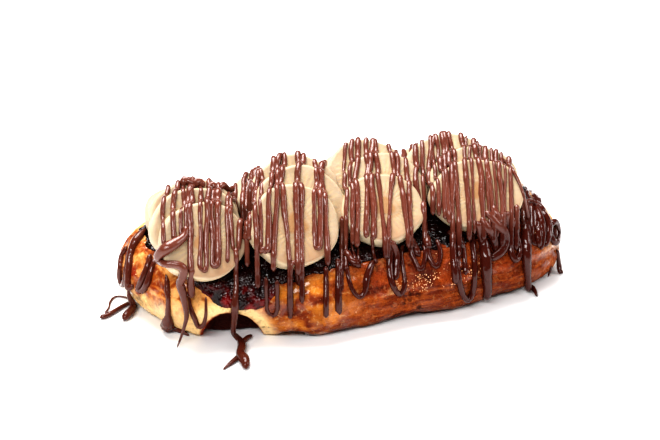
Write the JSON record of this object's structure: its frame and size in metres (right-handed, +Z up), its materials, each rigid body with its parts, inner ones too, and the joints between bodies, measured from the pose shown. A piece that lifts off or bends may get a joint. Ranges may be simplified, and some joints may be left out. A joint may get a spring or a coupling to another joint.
{
  "type": "belgian waffle with banana slices",
  "caption": "Oblong waffle with a glazed crust, dark berry jam, leaning banana slices and thin streams of milk chocolate.",
  "frame": {"origin": "on the middle bar of the waffle's underside, at the level it rests on", "axes": "+X along the waffle, -Y towards its front, +Z up"},
  "size_m": [0.1737, 0.0899, 0.0519],
  "materials": {
    "crust": "golden brown crust with melted sugar in patches",
    "jam": "wet, nearly black berry jam",
    "banana": "moist cut flesh",
    "chocolate": "soft sheen of set milk chocolate"
  },
  "bodies": {
    "root": {"waffle": "crust", "jam": "jam", "banana_a1": "banana", "banana_a2": "banana", "banana_a3": "banana", "banana_a4": "banana", "banana_b1": "banana", "banana_b2": "banana", "banana_b3": "banana", "banana_b4": "banana", "banana_c1": "banana", "banana_c2": "banana", "banana_c3": "banana", "banana_c4": "banana", "banana_d1": "banana", "banana_d2": "banana", "banana_d3": "banana", "banana_d4": "banana"}
  },
  "joints": []
}
